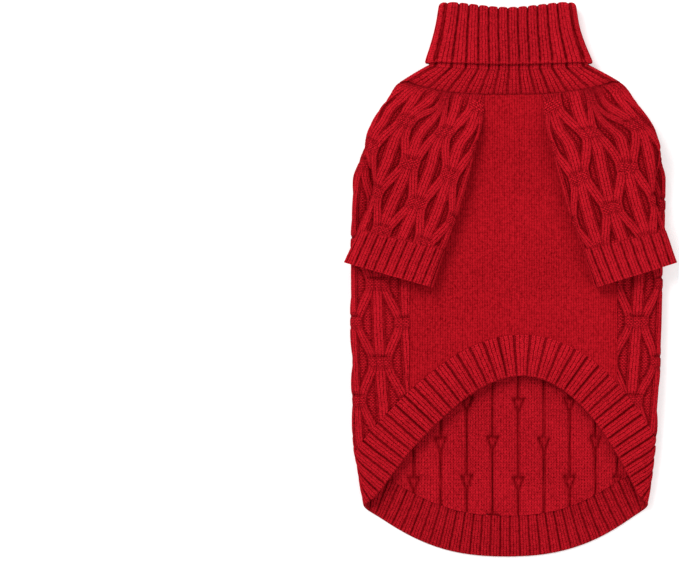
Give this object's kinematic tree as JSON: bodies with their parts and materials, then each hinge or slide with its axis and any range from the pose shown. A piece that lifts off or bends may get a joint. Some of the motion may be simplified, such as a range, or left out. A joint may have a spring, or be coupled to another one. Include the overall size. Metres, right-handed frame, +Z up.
{
  "type": "dog sweater",
  "caption": "Knitted turtleneck dog sweater laid flat belly side up, with ribbed cuffs and an arched ribbed hem.",
  "frame": {"origin": "middle of the sweater's box, on the surface it lies on", "axes": "+Y from the hem to the neck, +X to the right seen from above with the belly side up, +Z up"},
  "size_m": [0.249, 0.4148, 0.03],
  "materials": {
    "cable_knit": "wool-like gathered rib knit",
    "plain_knit": "wool-like stockinette",
    "rib_knit": "wool-like rib knit"
  },
  "bodies": {
    "root": {"back_panel": "cable_knit", "belly_panel": "plain_knit", "sleeve_left": "cable_knit", "sleeve_right": "cable_knit", "cuff_left": "rib_knit", "cuff_right": "rib_knit", "hem_band": "rib_knit", "collar": "rib_knit"}
  },
  "joints": []
}
